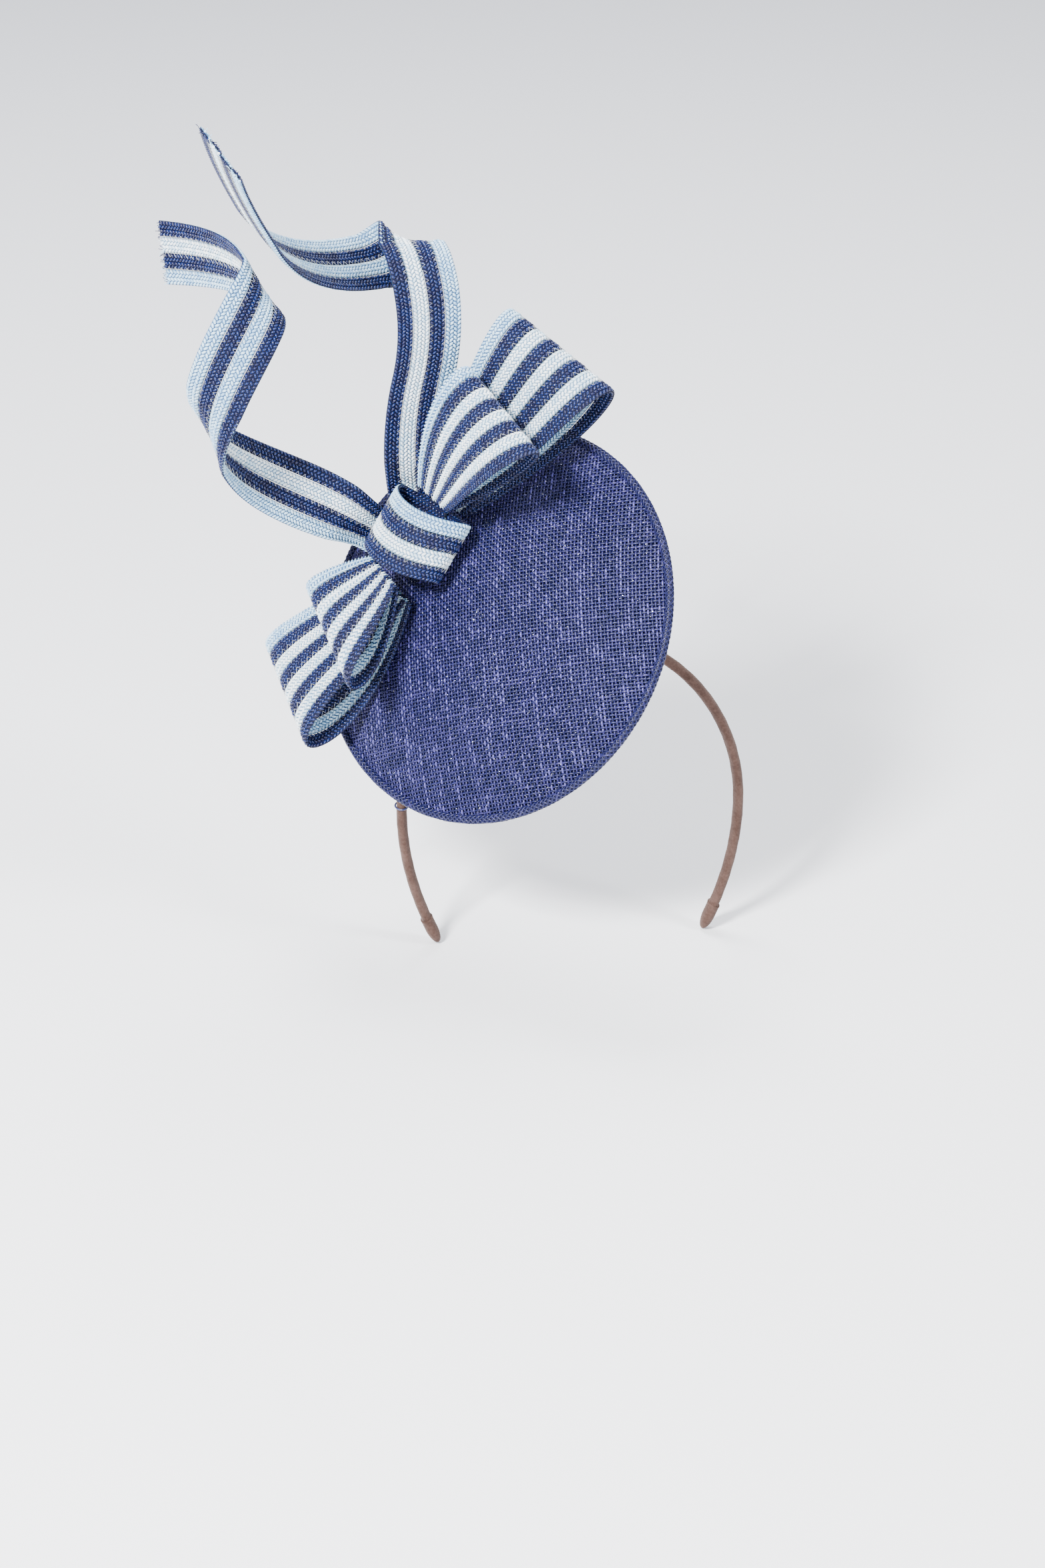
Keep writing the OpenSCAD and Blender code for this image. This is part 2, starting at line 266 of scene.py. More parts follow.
def dressed(node, material):
    """Gives one of the frame's own pieces its finish."""
    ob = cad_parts[node]
    ob.data.materials.clear()
    ob.data.materials.append(material)


def shaken(web, scale, detail=2.0):
    """Even noise about a middle of one half."""
    return web.node("ShaderNodeTexNoise", None, own_place(web), Scale=scale, Detail=detail)


spring_finish, web, shader = finish("spring_steel", Metallic=1.0, Roughness=0.3,
                                    Base_Color=(0.60, 0.60, 0.62, 1))
bumped(web, shader, shaken(web, 3000.0), 0.08, 0.0001)
dressed("headband_core", spring_finish)

# ---- The headband's sleeve ----------------------------------------------------
# Brown velvet cut on the bias, drawn over the spring and closed by a slip-stitched
# seam along the inside. Its ends are folded up and sewn as two small caps.

MM = 0.001
BAND_HALF_W = 79 * MM
BAND_RISE = 88 * MM
ARM_DROP = 64 * MM
ARM_CURVE = 3.5
ARM_SHARE = 0.36
BAND_W = 7 * MM
BAND_T = 4.5 * MM
TIP_LEN = 9 * MM
TIP_WRAP = 0.6 * MM
NEXT_TO = 0.002
SECTION_SIDES = 24
SLEEVE_STEPS = 260
TIP_STEPS = 26
TIP_CLOSE = 0.97
LIP_HIGH = 0.05
LIP_SPREAD = 0.05


def band_line(place):
    """The sleeve's outer line over the head, as x and z at a place from -1 to 1."""
    side = math.copysign(1, place)
    along = abs(place) / (1 - ARM_SHARE)
    if along <= 1:
        angle = math.radians(90) * along
        return np.array([side * BAND_HALF_W * math.sin(angle), 0,
                         BAND_RISE * (math.cos(angle) - 1)])
    drop = (abs(place) - 1 + ARM_SHARE) / ARM_SHARE * ARM_DROP
    return np.array([side * (BAND_HALF_W - ARM_CURVE * drop * drop), 0, -BAND_RISE - drop])


def unit(v):
    return v / np.linalg.norm(v)


def band_ring(place, w, t, sunk, swell=None):
    """A ring of the band's section. Angle 0 is outward, and a half turn is inward."""
    run = unit(band_line(place + NEXT_TO) - band_line(place - NEXT_TO))
    outward = np.array([-run[2], 0, run[0]])
    middle = band_line(place) + [0, 0, BAND_T] - outward * (sunk + t / 2)
    ring = []
    for j in range(SECTION_SIDES):
        angle = 2 * math.pi * j / SECTION_SIDES
        more = swell(place, angle) if swell else 0
        ring.append(middle + outward * (t / 2 + more) * math.cos(angle)
                    - np.array([0, (w / 2 + more) * math.sin(angle), 0]))
    return ring


def skin(rings, closed=False):
    """The points and faces that join rings of one count into a closed solid."""
    rings = np.asarray(rings)
    many, count = rings.shape[:2]
    faces = []
    for i in range(many if closed else many - 1):
        a = i * count
        b = (i + 1) % many * count
        for j in range(count):
            k = (j + 1) % count
            faces.append((a + j, b + j, b + k, a + k))
    if not closed:
        faces.append(tuple(range(count)))
        faces.append(tuple(range(many * count - 1, (many - 1) * count - 1, -1)))
    return rings.reshape(-1, 3), faces


def solid(name, parts, materials, tints=None):
    """One object made of several skins, each with its own material's number."""
    points, faces, marks, start = [], [], [], 0
    for number, (p, f) in enumerate(parts):
        points.append(p)
        faces += [tuple(start + v for v in face) for face in f]
        marks += [tints[number] if tints else 0] * len(f)
        start += len(p)
    mesh = bpy.data.meshes.new(name)
    mesh.from_pydata(np.concatenate(points).tolist(), [], faces)
    for material in materials:
        mesh.materials.append(material)
    mesh.polygons.foreach_set("material_index", marks)
    mesh.shade_smooth()
    mesh.update()
    ob = bpy.data.objects.new(name, mesh)
    scene.collection.objects.link(ob)
    return ob


velvet, web, shader = finish("velvet", Roughness=0.95, Specular_IOR_Level=0.15, Sheen_Weight=0.28,
                             Sheen_Roughness=0.45, Sheen_Tint=(0.62, 0.50, 0.46, 1))
patches = shaken(web, 140.0, 4.0) * 0.6 + shaken(web, 900.0) * 0.4
toned(web, shader, [(0.32, (0.045, 0.024, 0.018)), (0.68, (0.105, 0.062, 0.050))], patches)
bumped(web, shader, shaken(web, 2600.0) + shaken(web, 500.0), 0.5, 0.0003)

SEAM = 0.28 * MM
SEAM_SPREAD = 0.22
PILE_RATE = 60
VELVET_T = 0.7 * MM


def velvet_swell(place, angle):
    """The seam's ridge on the inside, and the soft unevenness of the pulled pile."""
    ridge = SEAM * math.exp(-((angle - math.pi) / SEAM_SPREAD) ** 2)
    s = place * PILE_RATE
    soft = 0.04 * math.sin(s * 1.7 + 2 * angle) + 0.03 * math.sin(s * 3.1 - angle)
    return ridge + soft * MM


sleeve_places = np.linspace(-1, 1, SLEEVE_STEPS)
rings = [band_ring(p, BAND_W, BAND_T, 0, velvet_swell) for p in sleeve_places]
rings += [band_ring(p, BAND_W - 2 * VELVET_T, BAND_T - 2 * VELVET_T, VELVET_T)
          for p in sleeve_places[::-1]]
sleeve = solid("velvet_sleeve", [skin(rings, closed=True)], [velvet])
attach(sleeve, "root")
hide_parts("headband_cover")
band_points = np.array([band_line(p) for p in sleeve_places])

TIP_OVER = 0.02
TIP_SHARE = TIP_LEN / ARM_DROP * ARM_SHARE
for side, name in ((-1, "left"), (1, "right")):
    rings = []
    for step in np.linspace(0, 1, TIP_STEPS):
        p = 1 - TIP_SHARE + (TIP_SHARE + TIP_OVER) * step
        over = max(0, p - 1 + TIP_OVER) / (2 * TIP_OVER)
        close = math.sqrt(1 - (TIP_CLOSE * over) ** 2)
        lip = 1 + LIP_HIGH * math.exp(-(step / LIP_SPREAD) ** 2)
        w = (BAND_W + 2 * TIP_WRAP) * close * lip
        t = (BAND_T + 2 * TIP_WRAP) * close * lip
        rings.append(band_ring(side * p, w, t, (BAND_T - t) / 2))
    if side < 0:
        rings.reverse()
    cap = solid("velvet_cap_" + name, [skin(rings)], [velvet])
    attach(cap, "root")
    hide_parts("headband_tip_" + name)

# ---- The crown ----------------------------------------------------------------
# Two layers of sinamay, a stiffened open cloth of banana fibre, blocked together over
# a shallow dome. The under layer lies on the bias, so the two meshes shimmer.

DISC_R = 91 * MM
DOME_H = 17 * MM
DISC_AT = np.array([-32.5, 13, 3.5]) * MM
DISC_FACING = math.radians(-44)
DISC_TILT = math.radians(56)
disc_turn = Matrix.Rotation(DISC_FACING, 4, "Z") @ Matrix.Rotation(DISC_TILT, 4, "X")
disc_place = Matrix.Translation(Vector(DISC_AT)) @ disc_turn
DISC_AXES = np.array(disc_turn)[:3, :3]
DOME_R = (DISC_R ** 2 + DOME_H ** 2) / (2 * DOME_H)
BIND_R = 1.9 * MM
EDGE_R = DISC_R - BIND_R
LAYER_INSET = 1.0 * MM
LAYER_R = EDGE_R - LAYER_INSET
CLOTH_T = 0.8 * MM


def growing(name, **inputs):
    """A new tree of geometry nodes with named inputs, and those inputs' node."""
    tree = bpy.data.node_groups.new(name, "GeometryNodeTree")
    for way in ("INPUT", "OUTPUT"):
        tree.interface.new_socket("Geometry", in_out=way, socket_type="NodeSocketGeometry")
    for label, kind in inputs.items():
        tree.interface.new_socket(label.replace("_", " "), in_out="INPUT",
                                  socket_type="NodeSocket" + kind)
    web = Web(tree)
    return web, web.node("NodeGroupInput")


def grown(name, tree, **values):
    """The plain mesh that a tree makes from the given inputs, as a new object."""
    ob = bpy.data.objects.new(name, bpy.data.meshes.new(name))
    scene.collection.objects.link(ob)
    modifier = ob.modifiers.new("grow", "NODES")
    modifier.node_group = tree
    for item in tree.interface.items_tree:
        key = item.name.replace(" ", "_")
        if item.in_out == "INPUT" and key in values:
            modifier[item.identifier] = values[key]
    depsgraph = bpy.context.evaluated_depsgraph_get()
    mesh = bpy.data.meshes.new_from_object(ob.evaluated_get(depsgraph))
    ob.modifiers.remove(modifier)
    ob.data = mesh
    mesh.name = name
    return ob


def painted(web, shape, tone, choices):
    """Sets each material on the faces whose tone lies below its limit."""
    low = -1.0
    for limit, material in choices:
        chosen = (tone > low) * (tone < limit)
        shape = web.node("GeometryNodeSetMaterial", None, shape, chosen, material)
        low = limit
    return shape


def stored(web, shape, label, value):
    return web.node("GeometryNodeStoreNamedAttribute", {"data_type": "FLOAT", "domain": "POINT"},
                    shape, Name=label, Value=value)


def read(web, label, kind="FLOAT"):
    return web.node("GeometryNodeInputNamedAttribute", {"data_type": kind}, label)


def piped(web, curve, profile):
    """A curve made solid round a profile, as wide as its radius says."""
    made = web.node("GeometryNodeCurveToMesh", None, curve, profile, Fill_Caps=True)
    sockets = made.socket.node.inputs
    if "Scale" in sockets:
        web.join(sockets["Scale"], web.node("GeometryNodeInputRadius"))
    return made


def dome_rise(dome, off, top):
    """The height of a dome of a given radius, at a squared distance from its axis."""
    return (dome * dome - off).by("SQRT") - dome + top


PI = math.pi
DARK_BELOW = 0.36
MIDDLE_BELOW = 0.68
EVERY_TONE = 9.0
SIDE_DRIFT = 0.45
web, given = growing("woven_threads", Pitch="Float", Half_Count="Int", Wide="Float",
                     Thick="Float", Dome="Float", Top="Float", Trim="Float", Lift="Float",
                     Seed="Int", Dent_X="Float", Dent_Y="Float", Dent_R="Float",
                     Dent_Deep="Float", Dark="Material", Middle="Material", Light="Material")
pitch = given.out("Pitch")
half = given.out("Half Count")
ends = web.vector(pitch * half, 0.0, 0.0)
line = web.node("GeometryNodeCurvePrimitiveLine", None, Start=ends * -1.0, End=ends)
line = web.node("GeometryNodeResampleCurve", None, line, Count=half * 4.0 + 1.0)
lanes = web.line(half * 2.0 + 1.0, web.vector(0.0, pitch * half * -1.0, 0.0),
                 web.vector(0.0, pitch, 0.0))
threads = web.node("GeometryNodeRealizeInstances", None,
                   web.node("GeometryNodeInstanceOnPoints", None, lanes, Instance=line))
x, y, _ = web.axes(web.position())
lane = (y / pitch).by("ROUND")
seed = given.out("Seed")
wave = ((x / pitch + lane) * PI).by("COSINE")
spot = web.vector(x * 45.0, lane * 7.3, seed * 3.1)
drift = web.node("ShaderNodeTexNoise", None, spot, Scale=1.0, Detail=1.0) - 0.5
slub = web.node("ShaderNodeTexNoise", None, spot, Scale=4.0, Detail=2.0) - 0.5
chance = web.node("ShaderNodeTexWhiteNoise", {"noise_dimensions": "2D"},
                  web.vector(lane, seed, 0.0)).out("Value")
off = x * x + y * y
rise = dome_rise(given.out("Dome"), off, given.out("Top"))
dent_x = (x - given.out("Dent X")) / given.out("Dent R")
dent_y = (y - given.out("Dent Y")) / given.out("Dent R")
dent = (dent_x * dent_x + dent_y * dent_y) * -1.0
rise = rise - dent.by("EXPONENT") * given.out("Dent Deep")
wove = web.vector(x, y + drift * pitch * SIDE_DRIFT,
                  rise + wave * given.out("Thick") * given.out("Lift") * 0.5)
threads = stored(web, threads, "tone", chance * 0.16 + slub * 1.6 + drift * 0.8 + 0.42)
threads = web.node("GeometryNodeSetPosition", None, threads, Position=wove)
past = off.by("SQRT") > given.out("Trim")
threads = web.node("GeometryNodeDeleteGeometry", {"domain": "POINT"}, threads, past)
threads = web.node("GeometryNodeSetCurveNormal", {"mode": "Z_UP"}, threads)
threads = web.node("GeometryNodeSetCurveRadius", None, threads,
                   Radius=0.90 + chance * 0.2 + slub * 0.6)
oval = web.node("GeometryNodeTransform", None, web.circle(4, 1.0), Scale=web.vector(
    given.out("Wide") * 0.5, given.out("Thick") * 0.5, 1.0))
cloth = piped(web, threads, oval)
cloth = web.node("GeometryNodeSetShadeSmooth", None, cloth)
cloth = web.node("GeometryNodeRealizeInstances", None, cloth)
cloth = painted(web, cloth, read(web, "tone"), [
    (DARK_BELOW, given.out("Dark")), (MIDDLE_BELOW, given.out("Middle")),
    (EVERY_TONE, given.out("Light"))])
web.node("NodeGroupOutput", None, cloth)
weave_tree = web.tree


def fibre(name, tone, roughness, coat):
    """A stiffened fibre thread: one tone, with fine lengthwise unevenness."""
    material, web, shader = finish(name, Roughness=roughness, Coat_Weight=coat, Coat_Roughness=0.22,
                                   Base_Color=(*tone, 1), Specular_IOR_Level=0.3)
    bumped(web, shader, shaken(web, 1800.0), 0.35, 0.0002)
    return material


SINAMAY = [fibre("sinamay_dark", (0.005, 0.006, 0.050), 0.42, 0.1),
           fibre("sinamay_middle", (0.020, 0.018, 0.098), 0.36, 0.2),
           fibre("sinamay_light", (0.070, 0.062, 0.245), 0.30, 0.3)]
UNDER = [fibre("under_dark", (0.003, 0.003, 0.022), 0.5, 0.0),
         fibre("under_middle", (0.005, 0.006, 0.042), 0.45, 0.05),
         fibre("under_light", (0.011, 0.012, 0.078), 0.4, 0.1)]
THREAD_PITCH = 1.6 * MM
THREAD_WIDE = 1.05 * MM
THREAD_THICK = 0.45 * MM
CLOTH_TURN = math.radians(115)
DENT_AT = Vector((31, -25, 0)) * MM
DENT_R = 16 * MM
DENT_DEEP = 1.6 * MM


def cloth_layer(name, drop, turn, node, warp_tones, weft_tones, seed):
    """One layer of cloth: its warp and its weft, woven over and under each other."""
    made = []
    for part, (way, lift, tones) in enumerate((("warp", 1.0, warp_tones),
                                               ("weft", -1.0, weft_tones))):
        laid = Matrix.Rotation(turn + part * PI / 2, 4, "Z")
        dent_at = laid.inverted() @ DENT_AT
        ob = grown(name + "_" + way, weave_tree, Pitch=THREAD_PITCH,
                   Half_Count=int(DISC_R / THREAD_PITCH), Wide=THREAD_WIDE, Thick=THREAD_THICK,
                   Dome=DOME_R - drop, Top=DOME_H - drop, Trim=LAYER_R, Lift=lift,
                   Dent_X=dent_at.x, Dent_Y=dent_at.y, Dent_R=DENT_R, Dent_Deep=DENT_DEEP,
                   Seed=seed + part, Dark=tones[0], Middle=tones[1], Light=tones[2])
        ob.data.transform(disc_place @ laid)
        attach(ob, "root")
        made.append(ob)
    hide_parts(node)
    return made


BACKING_DROP = 0.9 * MM
LINING_DROP = 1.8 * MM
outer = cloth_layer("sinamay", CLOTH_T / 2, CLOTH_TURN, "crown_cloth",
                    SINAMAY, [UNDER[2], SINAMAY[0], SINAMAY[1]], 3)
under = cloth_layer("sinamay_under", BACKING_DROP + CLOTH_T / 2, CLOTH_TURN + PI / 5,
                    "crown_backing", UNDER, UNDER, 11)

# ---- The glitter --------------------------------------------------------------
# Short bright fibres caught in the outer layer's weave. They lie flat on it, turned
# every way, and flash one by one in the light.

GLITTER_LIFT = 0.42 * MM
GLITTER_INSET = 2 * MM
glint, web, shader = finish("silver_fibre", Metallic=0.9, Roughness=0.18,
                            Base_Color=(0.86, 0.87, 0.95, 1))
bumped(web, shader, shaken(web, 2600.0), 0.3, 0.0001)
web, given = growing("caught_fibres", Edge="Float", Dome="Float", Top="Float", Density="Float",
                     Long="Float", Seed="Int", Fibre="Material")
disc = web.node("GeometryNodeMeshCircle", {"fill_type": "TRIANGLE_FAN"}, Vertices=90,
                Radius=given.out("Edge"))
spots = web.node("GeometryNodeDistributePointsOnFaces", None, disc, Density=given.out("Density"),
                 Seed=given.out("Seed")).out("Points")
x, y, _ = web.axes(web.position())
rise = dome_rise(given.out("Dome"), x * x + y * y, given.out("Top"))
spots = web.node("GeometryNodeSetPosition", None, spots, Position=web.vector(x, y, rise))
turn = web.node("FunctionNodeRandomValue", {"data_type": "FLOAT_VECTOR"},
                Min=(-0.5, -0.5, 0.0), Max=(0.5, 0.5, 2 * PI), Seed=given.out("Seed") + 1.0)
chance = web.node("FunctionNodeRandomValue", {"data_type": "FLOAT"}, Min=0.4, Max=1.0,
                  Seed=given.out("Seed") + 2.0)
fleck = web.node("GeometryNodeMeshIcoSphere", None, 1.0, 1).out("Mesh")
fleck = web.node("GeometryNodeTransform", None, fleck, Scale=(1.0, 0.3, 0.16))
flecks = web.node("GeometryNodeInstanceOnPoints", None, spots, Instance=fleck, Rotation=turn,
                  Scale=chance * given.out("Long") * 0.5)
flecks = web.node("GeometryNodeRealizeInstances", None, flecks)
flecks = web.node("GeometryNodeSetMaterial", None, flecks, True, given.out("Fibre"))
web.node("NodeGroupOutput", None, flecks)
flecks = grown("glitter", web.tree, Edge=LAYER_R - GLITTER_INSET, Dome=DOME_R - CLOTH_T / 2,
               Top=DOME_H - CLOTH_T / 2 + GLITTER_LIFT, Density=45000.0, Long=0.75 * MM, Seed=4,
               Fibre=glint)
flecks.data.transform(disc_place)
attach(flecks, "root")

# ---- The lining ---------------------------------------------------------------
# A circle of fine matte cotton glued to the dome's underside. It darkens the gaps of
# the mesh, and its edge stops short of the bound rim.

lining_cloth, web, shader = finish("lining_cotton", Roughness=0.85)
ribs = [web.node("ShaderNodeTexWave", {"bands_direction": axis}, own_place(web), Scale=900.0)
        for axis in "XZ"]
toned(web, shader, [(0.3, (0.006, 0.007, 0.022)), (0.75, (0.014, 0.017, 0.045))],
      shaken(web, 160.0, 4.0))
bumped(web, shader, ribs[0] * ribs[1], 0.3, 0.0002)

LINING_T = 0.5 * MM
LINING_INSET = 0.8 * MM
LINING_R = LAYER_R - LINING_INSET
LINING_STEPS = 28
LINING_TURNS = 120


def dome_at(r, drop):
    return math.sqrt((DOME_R - drop) ** 2 - r * r) - DOME_R + DOME_H


def disc_point(r, angle, z):
    return DISC_AXES @ [r * math.cos(angle), r * math.sin(angle), z] + DISC_AT


rings = []
radii = [LINING_R * k / LINING_STEPS for k in range(1, LINING_STEPS + 1)]
profile = [(r, LINING_DROP) for r in radii]
profile += [(r, LINING_DROP + LINING_T) for r in radii[::-1]]
for k in range(LINING_TURNS):
    angle = 2 * PI * k / LINING_TURNS
    ring = []
    for r, drop in profile:
        off = math.hypot(r * math.cos(angle) - DENT_AT.x, r * math.sin(angle) - DENT_AT.y)
        dip = DENT_DEEP * math.exp(-(off / DENT_R) ** 2)
        ring.append(disc_point(r, angle, dome_at(r, drop) - dip))
    rings.append(ring)
lining = solid("cotton_lining", [skin(rings, closed=True)], [lining_cloth])
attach(lining, "root")
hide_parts("crown_lining")

# ---- The bound edge -----------------------------------------------------------
# A bias strip of the same sinamay rolled over a millinery wire and sewn down all
# round, so its threads wind about the roll both ways.

dressed("brim_wire", fibre("wound_wire", (0.02, 0.025, 0.09), 0.6, 0.0))
ROLL_THREAD = 0.46 * MM
ROLL_WALL = 0.9 * MM
ROLL_SUNK = 0.9
ROLL_STEPS = 260
ROLL_SIDES = 12
ROLL_STARTS = 5
WOUND_MIDDLE_BELOW = 0.62


def roll_rings(r, way):
    """Rings round the edge's roll, wound outward for way 1 and inward for way -1."""
    turns = np.linspace(0, 2 * PI, ROLL_SIDES, endpoint=False)
    return [[disc_point(EDGE_R + r * math.cos(a), 2 * PI * k / ROLL_STEPS, way * r * math.sin(a))
             for a in turns] for k in range(ROLL_STEPS)]


outside = skin(roll_rings(BIND_R - ROLL_THREAD * ROLL_SUNK, 1), closed=True)
inside = skin(roll_rings(BIND_R - ROLL_WALL, -1), closed=True)
rolled = solid("rolled_edge", [outside, inside], [UNDER[0]])
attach(rolled, "root")
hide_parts("edge_binding")

web, given = growing("bias_threads", Edge="Float", Roll="Float", Turns="Float", Starts="Int",
                     Steps="Int", Thick="Float", Seed="Int",
                     Dark="Material", Middle="Material", Light="Material")
steps = given.out("Steps")
helix = web.node("GeometryNodeMeshToCurve", None, web.line(steps + 1.0, (0, 0, 0), (1, 0, 0)))
starts = web.line(given.out("Starts"), (0, 0, 0), (0, 1, 0))
helix = web.node("GeometryNodeRealizeInstances", None,
                 web.node("GeometryNodeInstanceOnPoints", None, starts, Instance=helix))
step, start, _ = web.axes(web.position())
round_edge = step / steps * (2 * PI)
round_roll = round_edge * given.out("Turns") + start / given.out("Starts") * (2 * PI)
uneven = web.node("ShaderNodeTexNoise", None,
                  web.vector(step * 0.11, start * 5.0, given.out("Seed") * 1.0),
                  Scale=1.0, Detail=2.0)
out = given.out("Edge") + given.out("Roll") * round_roll.by("COSINE")
place = web.vector(out * round_edge.by("COSINE"), out * round_edge.by("SINE"),
                   given.out("Roll") * round_roll.by("SINE"))
helix = stored(web, helix, "tone", uneven * 1.3 - 0.15)
helix = web.node("GeometryNodeSetPosition", None, helix, Position=place)
helix = web.node("GeometryNodeSetCurveRadius", None, helix, Radius=uneven * 1.1 + 0.45)
roll = web.node("GeometryNodeSetShadeSmooth", None,
                piped(web, helix, web.circle(4, given.out("Thick"))))
roll = painted(web, roll, read(web, "tone"), [
    (DARK_BELOW, given.out("Dark")), (WOUND_MIDDLE_BELOW, given.out("Middle")),
    (EVERY_TONE, given.out("Light"))])
web.node("NodeGroupOutput", None, roll)
bias_tree = web.tree
BIAS_TURNS = round(EDGE_R / BIND_R)
for k, way in enumerate((1, -1)):
    wound = grown("edge_threads_" + "ab"[k], bias_tree, Edge=EDGE_R,
                  Roll=BIND_R - ROLL_THREAD * 0.5, Turns=float(way * BIAS_TURNS),
                  Starts=ROLL_STARTS, Steps=BIAS_TURNS * 12, Thick=ROLL_THREAD, Seed=5 + k,
                  Dark=UNDER[1], Middle=SINAMAY[0], Light=SINAMAY[1])
    wound.data.transform(disc_place)
    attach(wound, "root")

# ---- The felt pad -------------------------------------------------------------
# A patch of pressed felt between the lining and the sleeve. It spreads the pull of the
# four stitches that hold the disc on the headband.

PAD_GRAIN = 0.7 * MM
felt, web, shader = finish("felt", Roughness=0.95, Sheen_Weight=0.1)
toned(web, shader, [(0.3, (0.010, 0.012, 0.035)), (0.7, (0.026, 0.030, 0.075))],
      shaken(web, 700.0, 5.0))
bumped(web, shader, shaken(web, 1500.0, 4.0), 0.6, 0.0004)
sewing, web, shader = finish("waxed_thread", Roughness=0.45,
                             Base_Color=(0.022, 0.026, 0.10, 1))
bumped(web, shader, shaken(web, 2500.0), 0.3, 0.0001)

pad = bpy.data.objects.new("felt_pad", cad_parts["headband_pad"].data.copy())
scene.collection.objects.link(pad)
remesh = pad.modifiers.new("felted", "REMESH")
remesh.mode = "VOXEL"
remesh.voxel_size = PAD_GRAIN
soften = pad.modifiers.new("soften", "SMOOTH")
soften.iterations = 3
pad_mesh = bpy.data.meshes.new_from_object(
    pad.evaluated_get(bpy.context.evaluated_depsgraph_get()))
pad.modifiers.clear()
pad.data = pad_mesh
pad_mesh.materials.clear()
pad_mesh.materials.append(felt)
pad_mesh.shade_smooth()
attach(pad, "root")
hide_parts("headband_pad")
for node in ("headband_stitches", "bow_binding", "bow_stitches"):
    dressed(node, sewing)

# ---- The braid ----------------------------------------------------------------
# Every ribbon is flat plaited cord, sewn edge to edge in stripes, in two plies laid
# back to back with the stripes out of step. Each plait is a soft tape under its yarns.

BRAID_W = 7.5 * MM
BRAID_T = 0.9 * MM
BRAID_GAP = 0.3 * MM
COLUMNS = 4
ROW = 1.8 * MM
GRAIN_LONG = 2.75 * MM
GRAIN_WIDE = 1.35 * MM
GRAIN_HIGH = 1.5 * MM
SLANT = math.radians(40)
EDGE_TRIM = 0.035
PILLOW_LEAN = 0.42
FRAY_R = 0.16 * MM
FRAYS_PER_LANE = 9.0
DEEP_ABOVE = 0.3
STITCH = 1.7 * MM
STITCH_SWING = 0.4
STITCH_LIFT = 1.2
STITCH_R = 0.1 * MM


def yarn(name, tone, roughness, coat):
    """Shiny twisted cord: one tone and the fine ridges of its filaments."""
    material, web, shader = finish(name, Roughness=roughness, Coat_Weight=coat, Coat_Roughness=0.16,
                                   Base_Color=(*tone, 1), Specular_IOR_Level=0.35)
    bumped(web, shader, shaken(web, 2400.0), 0.4, 0.00015)
    return material


NAVY = yarn("navy_yarn", (0.006, 0.015, 0.088), 0.26, 0.35)
NAVY_DEEP = yarn("navy_yarn_deep", (0.004, 0.006, 0.045), 0.3, 0.25)
WHITE = yarn("white_yarn", (0.80, 0.88, 0.93), 0.3, 0.7)
WHITE_DEEP = yarn("white_yarn_deep", (0.52, 0.68, 0.80), 0.34, 0.6)
SKY = yarn("sky_yarn", (0.44, 0.65, 0.82), 0.3, 0.7)
SKY_DEEP = yarn("sky_yarn_deep", (0.27, 0.47, 0.68), 0.34, 0.6)
# The tapes are far darker than their yarns: painted shade for the gaps between the yarn grains.
SHADED_TAPES = [yarn("navy_tape", (0.002, 0.003, 0.018), 0.8, 0.0),
         yarn("white_tape", (0.12, 0.22, 0.34), 0.7, 0.0),
         yarn("sky_tape", (0.05, 0.12, 0.24), 0.7, 0.0)]
NAVY_TINT, WHITE_TINT, SKY_TINT = range(3)


def lane_tint(lane, navy_lane, sky_lane):
    """The tint of a lane: navy on every second one, and sky on the named one or on all."""
    if lane % 2 == navy_lane:
        return NAVY_TINT
    return SKY_TINT if sky_lane in (lane, -1) else WHITE_TINT


def lane_line(station, lane, lanes, share):
    """A point across a lane, with share from 0 at its first edge to 1 at its second."""
    middle, run, across = station
    slot = np.linalg.norm(across) / lanes
    trim = min(BRAID_GAP, slot / 5) / slot / 2
    return middle + across * ((lane + trim + (1 - 2 * trim) * share) / lanes - 0.5)


def tape_ring(station, lane, lanes, side):
    """A ring of a tape's pillow section, on one side of the ribbon."""
    out = unit(np.cross(station[1], station[2])) * side
    near = out * BRAID_GAP / 4
    ring = [lane_line(station, lane, lanes, s) + near for s in (0, 1)]
    for s in (1, 0.85, 0.5, 0.15, 0):
        pillow = 1 - (2 * s - 1) ** 2
        ring.append(lane_line(station, lane, lanes, s) + near
                    + out * BRAID_T * (0.08 + 0.42 * pillow))
    return ring if side > 0 else ring[::-1]


def ribbon_length(stations):
    spots = np.array([s[0] for s in stations])
    return float(np.linalg.norm(np.diff(spots, axis=0), axis=1).sum())


